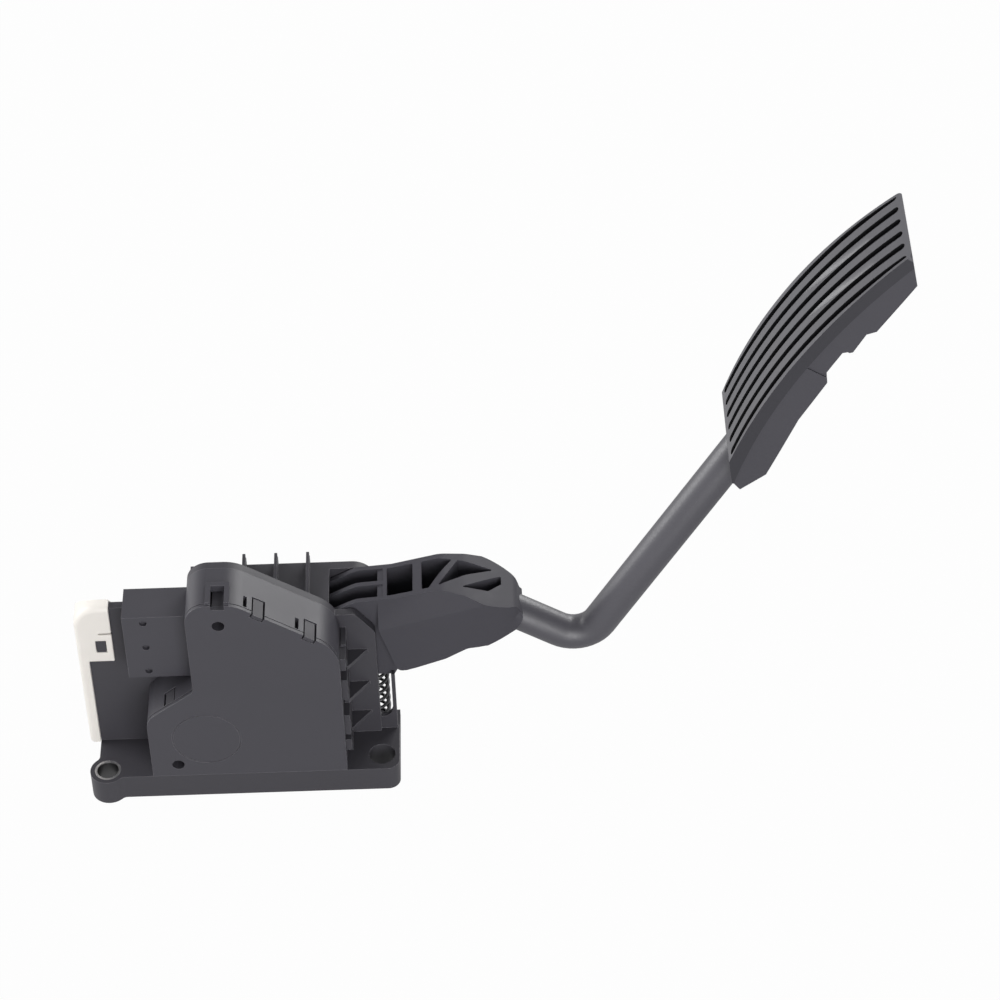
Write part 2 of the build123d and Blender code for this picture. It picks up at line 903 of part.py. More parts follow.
def deck_pockets():
    """Openings between the truss webs, in X and Y."""
    near = lever_near + deck_wall
    far = lever_far - deck_wall
    left = cross_wall_x + deck_web
    first_left, first_near, first_far = first_pocket
    second_tip, second_left, second_right = second_pocket
    third_left, third_near, third_right = third_pocket
    left_inset, near_inset, right_inset, far_inset = third_pocket_insets
    outlines = (
        ((left, near), (truss_bay_end, near), (truss_bay_end, far), (left, far)),
        ((first_left, far), (first_far, far), (first_near, near), (first_left, near)),
        ((second_left, far), (second_right, far), (second_tip, near)),
        (
            (third_right, far - far_inset), (third_right, near + right_inset),
            (third_near, near + near_inset), (third_left, near + left_inset),
        ),
    )
    return [rounded(*[(x, y, pocket_corner) for x, y in outline]) for outline in outlines]


def make_lever():
    neck = across(neck_outline() + Pos(pivot_x, pivot_z) * Circle(hub_radius), lever_near, lever_far)
    floor = neck_outline(rib_depth)
    lane = (lever_far - lever_near - 3 * rib_thickness) / 2
    for index in range(2):
        lane_start = lever_near + rib_thickness + index * (lane + rib_thickness)
        window = block(rib_start_x, cross_wall_x, lane_start, lane_start + lane, 0, neck_top + rib_depth)
        neck -= window - across(floor, lane_start, lane_start + lane)
    beam = across(beam_outline(), lever_wide_near, lever_wide_far) & nose_plan() & nose_cone()
    bevel = side_bevel()
    beam -= bevel
    beam -= mirror(bevel, about=Plane.XZ.offset(-bay_middle))
    lever = neck + beam
    for pocket in deck_pockets():
        lever -= upward(pocket, pocket_floor, cover_top)
    spigot = upward(Pos(spring_x, spring_y) * Circle(spigot_radius), spring_face - spigot_height, spring_face)
    lever += spigot
    lever -= pivot_rod(pin_diameter / 2, lever_near, lever_far)
    return lever - tube_solid(tube_diameter / 2)


def pad_frame():
    """Plane with X along the pad's face and Y out of it, at the pad's foot."""
    turn = radians(pad_angle)
    foot = (pad_foot[0], bay_middle, pad_foot[1])
    return Plane(origin=foot, x_dir=(cos(turn), 0, sin(turn)), z_dir=(0, -1, 0))


def crown_point(station, sink):
    """Point on the pad's crowned line, sunk below its face."""
    centre = pad_crown - crown_radius
    reach = station - pad_length / 2
    return (station, centre + sqrt((crown_radius - sink) ** 2 - reach**2))


def crown_line(sink, start, end):
    middle = crown_point((start + end) / 2, sink)
    return ThreePointArc(crown_point(start, sink), middle, crown_point(end, sink))


def under_crown(sink, start, end, depth):
    """Face between the crowned line, sunk below the pad's face, and a straight line at a depth."""
    sides = Polyline(crown_point(start, sink), (start, -depth), (end, -depth), crown_point(end, sink))
    return make_face([crown_line(sink, start, end)] + sides.edges())


def crowned_band(sink, start, end):
    """Face that runs along the crowned line and reaches as far above it as below."""
    upper = crown_line(-sink, start, end)
    lower = crown_line(sink, start, end)
    return make_face([upper, lower, Line(upper @ 0, lower @ 0), Line(upper @ 1, lower @ 1)])


def pad_slab(face, half_width, shift=0.0):
    """A face drawn in the pad's side view, carried to both sides of a line beside its mid-plane."""
    placed = pad_frame().offset(-half_width - shift) * face
    return extrude(placed, amount=2 * half_width, dir=(0, -1, 0))


def pad_side_view():
    skirt = Polyline((pad_length, 0), *pad_underside, pad_toe, pad_heel, (0, 0))
    return make_face([crown_line(0, 0, pad_length)] + skirt.edges())


def pad_upright():
    """Plane in the pad's face, with its normal out of the face."""
    frame = pad_frame()
    return Plane(origin=frame.origin, x_dir=frame.x_dir, z_dir=frame.y_dir)


def pad_barrel(inset):
    """Upright solid on the pad's bowed plan outline."""
    first = 2 * pad_toe[0]
    last = pad_length - inset
    half_mid = pad_mid_width / 2 - inset
    half_end = pad_end_width / 2 - inset
    near_side = ThreePointArc((first, -half_end), (pad_length / 2, -half_mid), (last, -half_end))
    far_side = ThreePointArc((first, half_end), (pad_length / 2, half_mid), (last, half_end))
    ends = [Line(near_side @ 0, far_side @ 0), Line(near_side @ 1, far_side @ 1)]
    outline = make_face([near_side, far_side] + ends)
    corners = outline.vertices().sort_by(Axis.X)[-2:]
    outline = fillet(corners, pad_corner - inset / 2)
    return extrude(pad_upright() * outline, amount=pad_mid_width, both=True)


def under_face(sink, inset):
    """Side view of the space below the pad's face, from a line set in from its heel."""
    depth = pad_end_width
    return under_crown(sink, inset, pad_length, depth) + polygon(
        (inset, -sink),
        (pad_heel[0] + inset, pad_heel[1]),
        (pad_toe[0] + inset, pad_toe[1]),
        (pad_toe[0] + inset, -depth),
        (inset, -depth),
    )


def pad_grooves():
    """Cutters of the grooves, which end in rounds or run out along the bowed border."""
    slots = Sketch()
    for index in range(groove_count):
        shift = (index - (groove_count - 1) / 2) * groove_pitch
        slots += Pos(pad_length / 2, shift) * SlotOverall(pad_length - 2 * groove_end, groove_width)
    cutters = extrude(pad_upright() * slots, amount=pad_mid_width, both=True) & pad_barrel(groove_border)
    return cutters & pad_slab(crowned_band(groove_depth, 0, pad_length), pad_mid_width / 2)


def make_pedal_pad():
    half_mid = pad_mid_width / 2
    side_view = pad_slab(pad_side_view(), half_mid)
    hollow = pad_slab(under_face(pad_face, pad_skirt), half_mid) & pad_barrel(pad_skirt)
    rim = pad_slab(crowned_band(pad_rim, pad_heel[0], pad_length), half_mid)
    relief = pad_slab(under_crown(pad_rim, *pad_relief, pad_mid_width), half_mid)
    panel = side_view & pad_barrel(pad_rim_step)
    panel -= relief - pad_barrel(pad_rim_step + pad_relief_step)
    pad = panel + (side_view & rim & pad_barrel(0)) - hollow
    for place in pad_rib_places:
        rib = under_crown(pad_face, place - pad_rib / 2, place + pad_rib / 2, pad_rib_drop)
        pad += pad_slab(rib, half_mid) & hollow
    socket = tube_solid(tube_diameter / 2 + saddle_wall, saddle_wall)
    pad += socket & pad_slab(under_face(pad_face / 2, 0), half_mid)
    pad -= tube_solid(tube_diameter / 2)
    return pad - pad_grooves()


def coil(radius, wire, turns, bottom, top, centre, axis=(0, 0, 1), lefthand=False):
    """A round-wire spring between two end planes."""
    rise = top - bottom - wire
    path = Helix(pitch=rise / turns, height=rise, radius=radius, lefthand=lefthand)
    section = Plane(origin=path @ 0, z_dir=path % 0) * Circle(wire / 2)
    spring = sweep(section, path=path, is_frenet=True)
    return Plane(origin=centre, z_dir=axis) * (Pos(0, 0, bottom + wire / 2) * spring)


def make_spring_seat():
    seat = upward(Pos(spring_x, spring_y) * Circle(seat_radius), seat_floor, seat_top)
    return seat + upward(Pos(spring_x, spring_y) * Circle(spigot_radius), seat_top, seat_top + spigot_height)


def make_outer_return_spring():
    return coil(outer_spring_radius, outer_wire, outer_turns, seat_top, spring_top, (spring_x, spring_y, 0))


def make_inner_return_spring():
    return coil(
        inner_spring_radius, inner_wire, inner_turns,
        seat_top, spring_top, (spring_x, spring_y, 0), lefthand=True,
    )


def make_friction_shoe():
    front = pivot_x - hub_radius / 2
    shoe = block(
        shoe_back, front, bay_middle - shoe_width / 2, bay_middle + shoe_width / 2,
        pivot_z - shoe_height / 2, pivot_z + shoe_height / 2,
    )
    return shoe - pivot_rod(hub_radius + shoe_gap, near_wall_front, far_wall_back)


def make_friction_spring():
    start = abutment_x + abutment_thickness
    return coil(
        brake_spring_radius, brake_wire, brake_turns,
        start, shoe_back, (0, bay_middle, pivot_z), axis=(1, 0, 0),
    )


def make_idle_stop_bumper():
    half = bumper_width / 2
    right = bumper_left + bumper_length
    ceiling = wall_top - roof_skin
    bumper = block(
        bumper_left, right, bay_middle - half, bay_middle + half, ceiling - hub_radius, ceiling
    )
    lever_space = across(neck_outline(-stop_gap), lever_near, lever_far)
    return bumper - lever_space


nodes = {
    "housing": make_housing(),
    "sensor_cover": make_sensor_cover(),
    "connector_housing": make_connector_housing(),
    "terminals": make_terminals(),
    "end_cap": make_end_cap(),
    "mounting_sleeves": make_mounting_sleeves(),
    "front_pivot_bush": make_bush(near_wall_front, near_wall_back),
    "rear_pivot_bush": make_bush(far_wall_front, far_wall_back),
    "circuit_board": make_circuit_board(),
    "hall_sensors": make_hall_sensors(),
    "outer_return_spring": make_outer_return_spring(),
    "inner_return_spring": make_inner_return_spring(),
    "spring_seat": make_spring_seat(),
    "friction_shoe": make_friction_shoe(),
    "friction_spring": make_friction_spring(),
    "idle_stop_bumper": make_idle_stop_bumper(),
    "lever": make_lever(),
    "pivot_pin": make_pivot_pin(),
    "pin_retaining_ring": make_pin_retaining_ring(),
    "magnet_carrier": make_magnet_carrier(),
    "magnet": make_magnet(),
    "pedal_tube": make_pedal_tube(),
    "pedal_pad": make_pedal_pad(),
}

os.makedirs("parts", exist_ok=True)
for name, shape in nodes.items():
    export_step(shape, f"parts/{name}.step")
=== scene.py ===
import math

import bpy
from mathutils import Matrix, Vector


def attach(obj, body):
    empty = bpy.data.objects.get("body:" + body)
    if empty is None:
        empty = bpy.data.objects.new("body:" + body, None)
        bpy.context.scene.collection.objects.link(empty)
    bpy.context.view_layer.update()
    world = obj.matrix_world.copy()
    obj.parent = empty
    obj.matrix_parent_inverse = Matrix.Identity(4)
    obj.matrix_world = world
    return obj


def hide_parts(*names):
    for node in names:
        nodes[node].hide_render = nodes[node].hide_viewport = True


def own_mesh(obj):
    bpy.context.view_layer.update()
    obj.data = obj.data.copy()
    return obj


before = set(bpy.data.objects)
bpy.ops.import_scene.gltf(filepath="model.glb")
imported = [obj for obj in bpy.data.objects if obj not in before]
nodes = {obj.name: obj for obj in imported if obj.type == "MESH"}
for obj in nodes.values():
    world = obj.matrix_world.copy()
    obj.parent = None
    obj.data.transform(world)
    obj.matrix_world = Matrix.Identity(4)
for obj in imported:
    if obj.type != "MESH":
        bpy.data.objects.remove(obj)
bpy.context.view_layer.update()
print("frame:", len(nodes), "nodes")


def clearSelection():
    if bpy.context.object and bpy.context.object.mode != "OBJECT":
        bpy.ops.object.mode_set(mode="OBJECT")
    bpy.ops.object.select_all(action="DESELECT")


def takeInHand(obj):
    clearSelection()
    obj.select_set(True)
    bpy.context.view_layer.objects.active = obj


# Camera

photoView = {
    "lens": 126.0,  # on a 36 mm sensor
    "eye": (0.1629, -0.9693, 1.0587),
    "elevation": 43.0,
    "roll": 1.9,
}


def placeCamera(view):
    tilt, roll = math.radians(view["elevation"]), math.radians(view["roll"])
    level = Vector((1, 0, 0))
    upright = Vector((0, math.sin(tilt), math.cos(tilt)))
    back = Vector((0, -math.cos(tilt), math.sin(tilt)))
    right = math.cos(roll) * level - math.sin(roll) * upright
    up = math.sin(roll) * level + math.cos(roll) * upright
    lens = bpy.data.cameras.new("photoCamera")
    lens.lens = view["lens"]
    lens.sensor_width = 36.0
    lens.clip_start, lens.clip_end = 0.05, 20.0
    camera = bpy.data.objects.new("photoCamera", lens)
    turn = Matrix((right, up, back)).transposed().to_4x4()
    camera.matrix_world = Matrix.Translation(Vector(view["eye"])) @ turn
    bpy.context.scene.collection.objects.link(camera)
    bpy.context.scene.camera = camera


placeCamera(photoView)
print("camera placed")


# Shader maths: a socket that can be added, multiplied and so on

class Wire:
    def __init__(self, tree, socket=None):
        self.tree = tree
        self.socket = socket

    def add(self, kind, settings, feeds, result=0):
        node = self.tree.nodes.new(kind)
        for name, value in settings.items():
            setattr(node, name, value)
        for name, value in feeds.items():
            if isinstance(value, Wire):
                self.tree.links.new(value.socket, node.inputs[name])
            else:
                node.inputs[name].default_value = value
        return Wire(self.tree, node.outputs[result])

    def reckon(self, operation, first, second):
        return self.add("ShaderNodeMath", {"operation": operation}, {0: first, 1: second})

    def __add__(self, other):
        return self.reckon("ADD", self, other)

    def __sub__(self, other):
        return self.reckon("SUBTRACT", self, other)

    def __rsub__(self, other):
        return self.reckon("SUBTRACT", other, self)

    def __mul__(self, other):
        return self.reckon("MULTIPLY", self, other)

    def noise(self, scale, detail=2.0, roughness=0.5):
        feeds = {"Vector": self, "Scale": scale, "Detail": detail, "Roughness": roughness}
        return self.add("ShaderNodeTexNoise", {}, feeds)

    def spread(self, low, high, newLow=0.0, newHigh=1.0):
        feeds = {"Value": self, "From Min": low, "From Max": high, "To Min": newLow, "To Max": newHigh}
        return self.add("ShaderNodeMapRange", {"clamp": True}, feeds)

    def tint(self, first, second):
        feeds = {"Factor": self, 6: first, 7: second}
        return self.add("ShaderNodeMix", {"data_type": "RGBA"}, feeds, 2)

    def part(self, axis):
        return self.add("ShaderNodeSeparateXYZ", {}, {"Vector": self}, axis)


def newFinish(name):
    material = bpy.data.materials.new(name)
    material.use_nodes = True
    tree = material.node_tree
    shader = tree.nodes["Principled BSDF"]
    place = Wire(tree).add("ShaderNodeTexCoord", {}, {}, "Object")
    return material, shader, place


def plug(wire, shader, socket):
    wire.tree.links.new(wire.socket, shader.inputs[socket])


def relief(height, shader, strength, depth):
    bump = height.add("ShaderNodeBump", {}, {"Height": height, "Strength": strength, "Distance": depth})
    plug(bump, shader, "Normal")


def edges(place):
    return place.add("ShaderNodeNewGeometry", {}, {}, "Pointiness")


def shade(colour, factor):
    return tuple(min(1.0, part * factor) for part in colour) + (1.0,)


# Moulded plastic: fine spark-eroded grain, slow flow marks, edges lightened by pointiness: part rubbed wear,
# part painted highlight

def mouldedPlastic(name, look):
    material, shader, place = newFinish(name)
    flow = place.noise(look["flowScale"], 4.0, 0.6)
    grain = place.noise(look["grainScale"], 3.0, 0.65)
    # edges picked by pointiness; where the edge factor is set they are lightened: part rubbed wear, part
    # painted highlight
    rubbedAndHighlit = edges(place).spread(0.52, 0.62) * place.noise(240.0, 3.0).spread(0.35, 0.7)
    body = flow.spread(0.3, 0.7).tint(shade(look["colour"], 0.97), shade(look["colour"], 1.03))
    body = (grain.spread(0.62, 0.80) * look["speck"]).tint(body, shade(look["colour"], 1.7))
    body = (rubbedAndHighlit * look["wearAndHighlight"]).tint(body, shade(look["colour"], 2.4))
    plug(body, shader, "Base Color")
    plug(flow.spread(0.3, 0.7, look["gloss"][0], look["gloss"][1]) - rubbedAndHighlit * 0.06, shader, "Roughness")
    shader.inputs["Specular IOR Level"].default_value = look["specular"]
    relief(grain + flow * 0.4, shader, look["grainStrength"], look["grainDepth"])
    return material


mould = {
    "flowScale": 26.0, "grainScale": 3000.0, "speck": 0.06, "wearAndHighlight": 0.0,
    "grainStrength": 0.12, "grainDepth": 0.00004,
}
padMould = dict(mould, flowScale=30.0, grainScale=2400.0, speck=0.08)
plasticLook = {
    "housing": dict(mould, colour=(0.053, 0.051, 0.060), gloss=(0.46, 0.54), specular=0.35),
    "cover": dict(mould, colour=(0.057, 0.055, 0.066), gloss=(0.44, 0.50), specular=0.40),
    "coverRim": dict(mould, colour=(0.057, 0.055, 0.066), gloss=(0.40, 0.46), specular=0.40),
    # light edge colour for the rolled faces of the dark mouldings: part rubbed wear, part painted highlight
    # along every edge
    "rubbedAndHighlitEdge": {
        "colour": (0.165, 0.161, 0.178), "flowScale": 90.0, "grainScale": 3000.0, "gloss": (0.36, 0.44),
        "speck": 0.10, "wearAndHighlight": 0.20, "specular": 0.5, "grainStrength": 0.10, "grainDepth": 0.00003,
    },
    "lever": dict(
        mould, colour=(0.067, 0.065, 0.0765), flowScale=24.0, grainScale=2800.0,
        gloss=(0.48, 0.56), specular=0.16,
    ),
    "pad": dict(padMould, colour=(0.086, 0.084, 0.097), gloss=(0.36, 0.44), specular=0.6),
    "padSkirt": dict(padMould, colour=(0.070, 0.068, 0.080), gloss=(0.46, 0.54), specular=0.35),
    # darker band low on the pad's sides: painted shade
    "padBandShade": dict(padMould, colour=(0.046, 0.045, 0.053), gloss=(0.46, 0.54), specular=0.30),
    # near-black painted shade for the pad's grooves and their rolled rims
    "groove": {
        "colour": (0.016, 0.016, 0.018), "flowScale": 30.0, "grainScale": 2400.0, "gloss": (0.60, 0.70),
        "speck": 0.10, "wearAndHighlight": 0.0, "specular": 0.20, "grainStrength": 0.3, "grainDepth": 0.00006,
    },
    "cap": {
        "colour": (0.96, 0.92, 0.865), "flowScale": 30.0, "grainScale": 2600.0, "gloss": (0.38, 0.50),
        "speck": 0.04, "wearAndHighlight": 0.0, "specular": 0.5, "grainStrength": 0.2, "grainDepth": 0.00006,
    },
    "shoe": {
        "colour": (0.30, 0.22, 0.12), "flowScale": 60.0, "grainScale": 2600.0, "gloss": (0.40, 0.55),
        "speck": 0.10, "wearAndHighlight": 0.25, "specular": 0.5, "grainStrength": 0.25, "grainDepth": 0.00006,
    },
    "chip": {
        "colour": (0.02, 0.02, 0.021), "flowScale": 300.0, "grainScale": 5000.0, "gloss": (0.40, 0.55),
        "speck": 0.10, "wearAndHighlight": 0.2, "specular": 0.5, "grainStrength": 0.25, "grainDepth": 0.00004,
    },
    "rubber": {
        "colour": (0.018, 0.018, 0.019), "flowScale": 120.0, "grainScale": 1800.0, "gloss": (0.68, 0.85),
        "speck": 0.15, "wearAndHighlight": 0.3, "specular": 0.35, "grainStrength": 0.5, "grainDepth": 0.0001,
    },
}
finishes = {name: mouldedPlastic(name + "Plastic", look) for name, look in plasticLook.items()}


# Powder coat on the tube: orange peel and a fine light speckle

def powderCoat(name, look):
    material, shader, place = newFinish(name)
    peel = place.noise(look["peelScale"], 2.0)
    fleck = place.noise(look["fleckScale"], 2.0, 0.7)
    cloud = place.noise(22.0, 4.0)
    body = cloud.spread(0.3, 0.7).tint(shade(look["colour"], 0.95), shade(look["colour"], 1.05))
    body = (fleck.spread(0.60, 0.78) * look["fleck"]).tint(body, shade(look["colour"], 3.0))
    plug(body, shader, "Base Color")
    plug(peel.spread(0.3, 0.7, look["gloss"][0], look["gloss"][1]), shader, "Roughness")
    shader.inputs["Specular IOR Level"].default_value = look["specular"]
    relief(peel + fleck * 0.4, shader, 0.25, 0.0001)
    return material


coatLook = {
    "colour": (0.060, 0.058, 0.070), "peelScale": 900.0, "fleckScale": 2600.0, "fleck": 0.30,
    "gloss": (0.42, 0.50), "specular": 0.8,
}
finishes["coat"] = powderCoat("tubeCoat", coatLook)


# Bare metals: fine lines across one axis, with slight staining, and painted shade on the sleeves below their
# top ring

def bareMetal(name, look):
    material, shader, place = newFinish(name)
    stretched = place.add("ShaderNodeMapping", {}, {"Vector": place, "Scale": look["stretch"]})
    lines = stretched.noise(look["lineScale"], 3.0, 0.6)
    stain = place.noise(140.0, 4.0, 0.6)
    body = stain.spread(0.35, 0.7).tint(shade(look["colour"], 1.04), shade(look["colour"], look["stain"]))
    # sleeves: colour cut to a sixth below the top ring, painted shade inside the bore
    if "shadedBelow" in look:
        body = place.part("Z").spread(*look["shadedBelow"]).tint(shade(look["colour"], look["inside"]), body)
    plug(body, shader, "Base Color")
    plug(lines.spread(0.3, 0.7, look["gloss"][0], look["gloss"][1]) + stain * 0.05, shader, "Roughness")
    shader.inputs["Metallic"].default_value = 1.0
    relief(lines, shader, 0.25, 0.00005)
    return material


turned = {"stretch": (1, 1, 14), "lineScale": 700.0, "stain": 0.80}
metalLook = {
    "steel": dict(turned, colour=(0.62, 0.62, 0.63), gloss=(0.20, 0.36)),
    "sleeve": dict(
        turned, colour=(0.62, 0.62, 0.63), gloss=(0.24, 0.40), shadedBelow=(0.0112, 0.0119), inside=0.16,
    ),
    "wire": {
        "colour": (0.10, 0.10, 0.105), "stretch": (1, 1, 1), "lineScale": 1500.0, "stain": 0.80,
        "gloss": (0.34, 0.46),
    },
    "bronze": {
        "colour": (0.52, 0.36, 0.18), "stretch": (1, 8, 1), "lineScale": 900.0, "stain": 0.75,
        "gloss": (0.34, 0.48),
    },
    "tin": {
        "colour": (0.70, 0.67, 0.60), "stretch": (8, 1, 1), "lineScale": 900.0, "stain": 0.82,
        "gloss": (0.24, 0.38),
    },
    "ferrite": {
        "colour": (0.10, 0.10, 0.105), "stretch": (1, 6, 1), "lineScale": 800.0, "stain": 0.80,
        "gloss": (0.40, 0.55),
    },
}
for metal, look in metalLook.items():
    finishes[metal] = bareMetal(metal + "Metal", look)


# Circuit board: green mask over glass weave

def boardLaminate(name, look):
    material, shader, place = newFinish(name)
    feeds = {"Vector": place, "Scale": look["weave"], "Distortion": 1.0}
    warp = place.add("ShaderNodeTexWave", {"bands_direction": "X"}, feeds)
    weft = place.add("ShaderNodeTexWave", {"bands_direction": "Z"}, feeds)
    weave = warp * weft
    plug(weave.tint(shade(look["colour"], 0.85), shade(look["colour"], 1.25)), shader, "Base Color")
    plug(place.noise(300.0, 3.0).spread(0.3, 0.7, 0.25, 0.40), shader, "Roughness")
    relief(weave, shader, 0.15, 0.00003)
    return material


boardLook = {"colour": (0.02, 0.13, 0.06), "weave": 700.0}
finishes["board"] = boardLaminate("boardMask", boardLook)
print("finishes made:", len(finishes))


# Copies of the CAD nodes, merged, at the origin

mergeReach = 0.000004
flatAngle = math.radians(0.6)


def mergedCopy(name, node, flatten):
    source = nodes[node]
    piece = source.copy()
    piece.data = source.data.copy()
    piece.parent = None
    piece.matrix_world = Matrix.Identity(4)
    piece.name = piece.data.name = name
    bpy.context.scene.collection.objects.link(piece)
    takeInHand(piece)
    bpy.ops.object.mode_set(mode="EDIT")
    bpy.ops.mesh.select_all(action="SELECT")
    bpy.ops.mesh.remove_doubles(threshold=mergeReach)
    if flatten:
        bpy.ops.mesh.dissolve_limited(angle_limit=flatAngle)
    bpy.ops.object.mode_set(mode="OBJECT")
    return piece


def settle(piece, look):
    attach(piece, look["body"])
    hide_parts(look["node"])


# Rounded edges: a merged copy of a moulded node, its sharp edges rolled over and its flat faces shaded flat

rollSteps = 2
sharpAngle = math.radians(32)
smoothAngle = math.radians(38)


def rollEdges(name, look):
    piece = mergedCopy(name, look["node"], True)
    bevel = piece.modifiers.new("rolled", "BEVEL")
    bevel.width = look["roll"]
    bevel.segments = rollSteps
    bevel.limit_method = "ANGLE"
    bevel.angle_limit = sharpAngle
    bevel.use_clamp_overlap = True
    bevel.harden_normals = False
    piece.data.materials.clear()
    piece.data.materials.append(finishes[look["finish"]])
    piece.data.materials.append(finishes[look["edge"]])
    # the rolled faces take the edge finish, on the dark mouldings a lighter one: part rubbed wear, part
    # painted highlight
    bevel.material = 1
    bpy.ops.object.modifier_apply(modifier=bevel.name)
    bpy.ops.object.shade_smooth_by_angle(angle=smoothAngle)
    if look["even"]:
        even = piece.modifiers.new("even", "WEIGHTED_NORMAL")
        even.keep_sharp = True
        bpy.ops.object.modifier_apply(modifier=even.name)
    settle(piece, look)
    return piece


rolled = {
    "housingMoulding": {
        "node": "housing", "body": "base", "slot": "housing_plastic",
        "finish": "housing", "edge": "rubbedAndHighlitEdge", "roll": 0.00045, "even": True,
    },
    "coverMoulding": {
        "node": "sensor_cover", "body": "base", "slot": "cover_plastic",
        "finish": "cover", "edge": "rubbedAndHighlitEdge", "roll": 0.00055, "even": True,
    },
    "connectorMoulding": {
        "node": "connector_housing", "body": "base", "slot": "cover_plastic",
        "finish": "cover", "edge": "rubbedAndHighlitEdge", "roll": 0.0004, "even": True,
    },
    "capMoulding": {
        "node": "end_cap", "body": "base", "slot": "cap_plastic",
        "finish": "cap", "edge": "cap", "roll": 0.0005, "even": True,
    },
    "leverMoulding": {
        "node": "lever", "body": "pedal", "slot": "lever_plastic",
        "finish": "lever", "edge": "rubbedAndHighlitEdge", "roll": 0.0005, "even": True,
    },
    "padMoulding": {
        "node": "pedal_pad", "body": "pedal", "slot": "pad_plastic",
        "finish": "pad", "edge": "rubbedAndHighlitEdge", "roll": 0.0003, "even": True,
    },
    "tubeBar": {
        "node": "pedal_tube", "body": "pedal", "slot": "tube_paint",
        "finish": "coat", "edge": "coat", "roll": 0.0003, "even": False,
    },
}
pieces = {name: rollEdges(name, look) for name, look in rolled.items()}
print("rolled pieces:", {name: len(piece.data.polygons) for name, piece in pieces.items()})


# Second finishes on single faces: the cover's smooth rim, the pad's sides in a darker tone, painted shade in
# the pad's grooves and on a band along its sides, the tube's cut end

def paintFaces(piece, finish, picked):
    mesh = piece.data
    mesh.materials.append(finishes[finish])
    added = len(mesh.materials) - 1
    for face in mesh.polygons:
        if picked([mesh.vertices[index].co for index in face.vertices], face.normal):
            face.material_index = added


padShape = {
    "foot": Vector((0.2504, 0.03125, 0.1601)), "angle": math.radians(56.5), "length": 0.1166, "crown": 0.008,
    "widest": 0.0479, "halfWidth": 0.02156, "bow": 1.708, "border": 0.0005, "endBorder": 0.0012,
    "groove": (-0.0002, 0.00005, 0.0026), "band": 0.0040, "sideways": 0.8,
}


# Depth below the crowned face, distance in from the bowed side and from the nearer end
def padPlace(corner):
    along = Vector((math.cos(padShape["angle"]), 0, math.sin(padShape["angle"])))
    outward = Vector((-along.z, 0, along.x))
    half = padShape["length"] / 2
    radius = (half ** 2 + padShape["crown"] ** 2) / (2 * padShape["crown"])
    reach = corner - padShape["foot"]
    offset = reach.dot(along) - half
    depth = radius - math.hypot(offset, reach.dot(outward) - padShape["crown"] + radius)
    side = padShape["halfWidth"] - (reach.dot(along) - padShape["widest"]) ** 2 / padShape["bow"]
    return depth, side - abs(reach.y), half - abs(offset)


def inGroove(corners, normal):
    depths, sides, ends = zip(*[padPlace(corner) for corner in corners])
    low, least, most = padShape["groove"]
    inside = min(sides) > padShape["border"] and min(ends) > padShape["endBorder"]
    return inside and min(depths) > low and least < max(depths) < most


def onBand(corners, normal):
    depths = [padPlace(corner)[0] for corner in corners]
    return abs(normal.y) > padShape["sideways"] and min(depths) < padShape["band"] < max(depths)


def onSkirt(corners, normal):
    return max(padPlace(corner)[0] for corner in corners) > padShape["band"]


rimShape = {"breadth": 0.0012, "sideways": 0.3, "upward": 0.2}


def onRim(corners, normal):
    broad = max((corner - corners[0]).length for corner in corners) > rimShape["breadth"]
    return broad and abs(normal.y) < rimShape["sideways"] and normal.z > rimShape["upward"]


tubeCut = {
    "entry": Vector((0.1669, 0.03125, 0.0651)), "corner": Vector((0.1952, 0.03125, 0.0466)), "inside": 0.0082,
}


def atCutEnd(corners, normal):
    outward = (tubeCut["corner"] - tubeCut["entry"]).normalized()
    middle = sum(corners, Vector()) / len(corners)
    return (middle - tubeCut["entry"]).dot(outward) < -tubeCut["inside"]


paintFaces(pieces["coverMoulding"], "coverRim", onRim)
paintFaces(pieces["padMoulding"], "padSkirt", onSkirt)
# side faces across the band depth painted darker: painted shade
paintFaces(pieces["padMoulding"], "padBandShade", onBand)
# groove walls, floors and rolled rims painted near-black: painted shade in the slots
paintFaces(pieces["padMoulding"], "groove", inGroove)
paintFaces(pieces["tubeBar"], "steel", atCutEnd)


# Return springs: merged copies of the CAD coils, smooth-shaded, in the wire finish, each with its own mesh

coilSmooth = math.radians(50)
springs = {
    "outerCoil": {"node": "outer_return_spring", "body": "base", "slot": "spring_steel", "keep": 0.44},
    "innerCoil": {"node": "inner_return_spring", "body": "base", "slot": "spring_steel", "keep": 0.41},
}
for name, look in springs.items():
    coil = mergedCopy(name, look["node"], False)
    bpy.ops.object.shade_smooth_by_angle(angle=coilSmooth)
    coil.data.materials.clear()
    coil.data.materials.append(finishes["wire"])
    settle(coil, look)
    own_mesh(coil)
print("springs set:", len(springs))


# Finishes on the CAD nodes that show as they are

nodeFinish = {
    "mounting_sleeves": "sleeve", "pivot_pin": "steel", "pin_retaining_ring": "steel",
    "front_pivot_bush": "bronze", "rear_pivot_bush": "bronze", "magnet_carrier": "lever", "magnet": "ferrite",
    "circuit_board": "board", "hall_sensors": "chip", "terminals": "tin", "spring_seat": "lever",
    "friction_shoe": "shoe", "friction_spring": "wire", "idle_stop_bumper": "rubber",
}
for nodeName, finish in nodeFinish.items():
    mesh = nodes[nodeName].data
    mesh.materials.clear()
    mesh.materials.append(finishes[finish])
print("nodes finished:", len(nodeFinish))


# Studio: pale floor, white surround, soft lamps

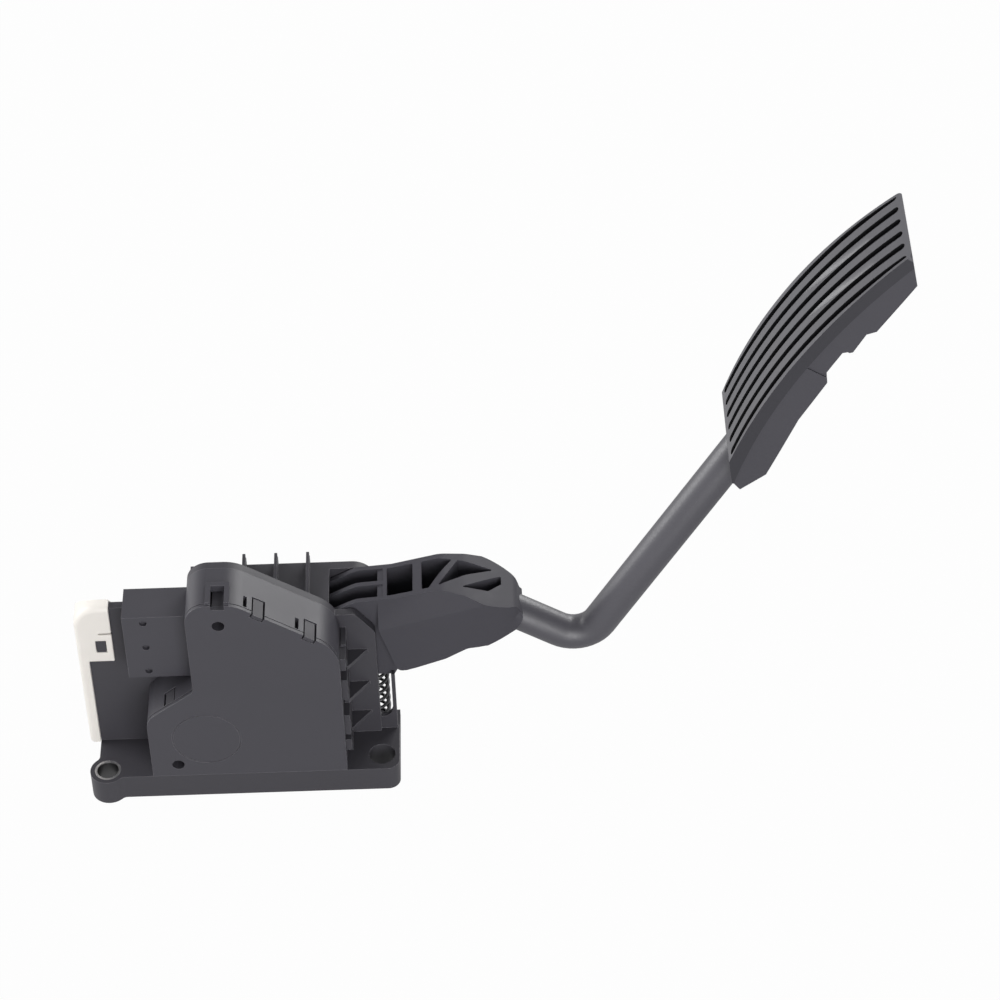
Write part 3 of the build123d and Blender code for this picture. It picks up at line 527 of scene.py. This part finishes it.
studio = {
    "floorSize": 8.0, "floorPlace": (0.13, 0.03, -0.0004), "floorColour": (0.20, 0.20, 0.205, 1.0),
    "floorGlow": 0.98, "floorShine": (1.0, 0.15), "shineSpan": (-0.45, 0.55),
    "ambient": 0.28, "wall": (0.20, 0.45), "wallLight": 1.0, "ceiling": 0.30, "aim": (0.13, 0.03, 0.08),
    "lamps": (
        {"name": "frontBox", "place": (0.45, -1.60, 0.48), "size": 1.2, "power": 23.0},
        {"name": "backBox", "place": (0.95, 1.40, 0.85), "size": 1.0, "power": 19.0},
        {"name": "leftPanel", "place": (-1.35, 0.35, 0.70), "size": 1.0, "power": 21.0},
    ),
}


def buildStudio(look):
    clearSelection()
    bpy.ops.mesh.primitive_plane_add(size=look["floorSize"], location=look["floorPlace"])
    floor = bpy.context.object
    floor.name = "studioFloor"
    material, shader, place = newFinish("studioPaper")
    tree = material.node_tree
    paper = place.noise(3.0).tint(look["floorColour"], shade(look["floorColour"][:3], 0.99))
    plug(paper, shader, "Base Color")
    shader.inputs["Roughness"].default_value = 0.9
    shader.inputs["Specular IOR Level"].default_value = 0.1
    rays = tree.nodes.new("ShaderNodeLightPath")
    glow = tree.nodes.new("ShaderNodeEmission")
    glow.inputs["Strength"].default_value = 1.0
    blend = tree.nodes.new("ShaderNodeMixShader")
    shine = place.part("X").spread(*look["shineSpan"], *look["floorShine"])
    mirrored = Wire(tree, rays.outputs["Is Glossy Ray"]) * shine
    seen = Wire(tree, rays.outputs["Is Camera Ray"]) * look["floorGlow"]
    share = mirrored.reckon("MAXIMUM", seen, mirrored)
    tree.links.new(share.socket, blend.inputs["Fac"])
    tree.links.new(shader.outputs["BSDF"], blend.inputs[1])
    tree.links.new(glow.outputs["Emission"], blend.inputs[2])
    tree.links.new(blend.outputs["Shader"], tree.nodes["Material Output"].inputs["Surface"])
    floor.data.materials.append(material)
    for lampLook in look["lamps"]:
        lampData = bpy.data.lights.new(lampLook["name"], "AREA")
        lampData.size = lampLook["size"]
        lampData.energy = lampLook["power"]
        lamp = bpy.data.objects.new(lampLook["name"], lampData)
        lamp.location = lampLook["place"]
        aim = Vector(look["aim"]) - Vector(lampLook["place"])
        lamp.rotation_euler = aim.to_track_quat("-Z", "Y").to_euler()
        bpy.context.scene.collection.objects.link(lamp)
    world = bpy.data.worlds.new("studioWorld")
    world.use_nodes = True
    bpy.context.scene.world = world
    tree = world.node_tree
    rays = Wire(tree).add("ShaderNodeLightPath", {}, {}, "Is Camera Ray")
    glossy = Wire(tree, rays.socket.node.outputs["Is Glossy Ray"])
    clear = Wire(tree, rays.socket.node.outputs["Is Transmission Ray"])
    direct = rays.reckon("MAXIMUM", rays.reckon("MAXIMUM", rays, glossy), clear)
    height = Wire(tree).add("ShaderNodeTexCoord", {}, {}, "Generated").part("Z")
    wall = height.spread(look["wall"][0], look["wall"][1], look["wallLight"], look["ceiling"])
    strength = direct * wall + (1.0 - direct) * look["ambient"]
    backdrop = tree.nodes["Background"]
    backdrop.inputs["Color"].default_value = (1, 1, 1, 1)
    tree.links.new(strength.socket, backdrop.inputs["Strength"])


buildStudio(studio)
bpy.context.scene.view_settings.view_transform = "Standard"
print("studio lit")
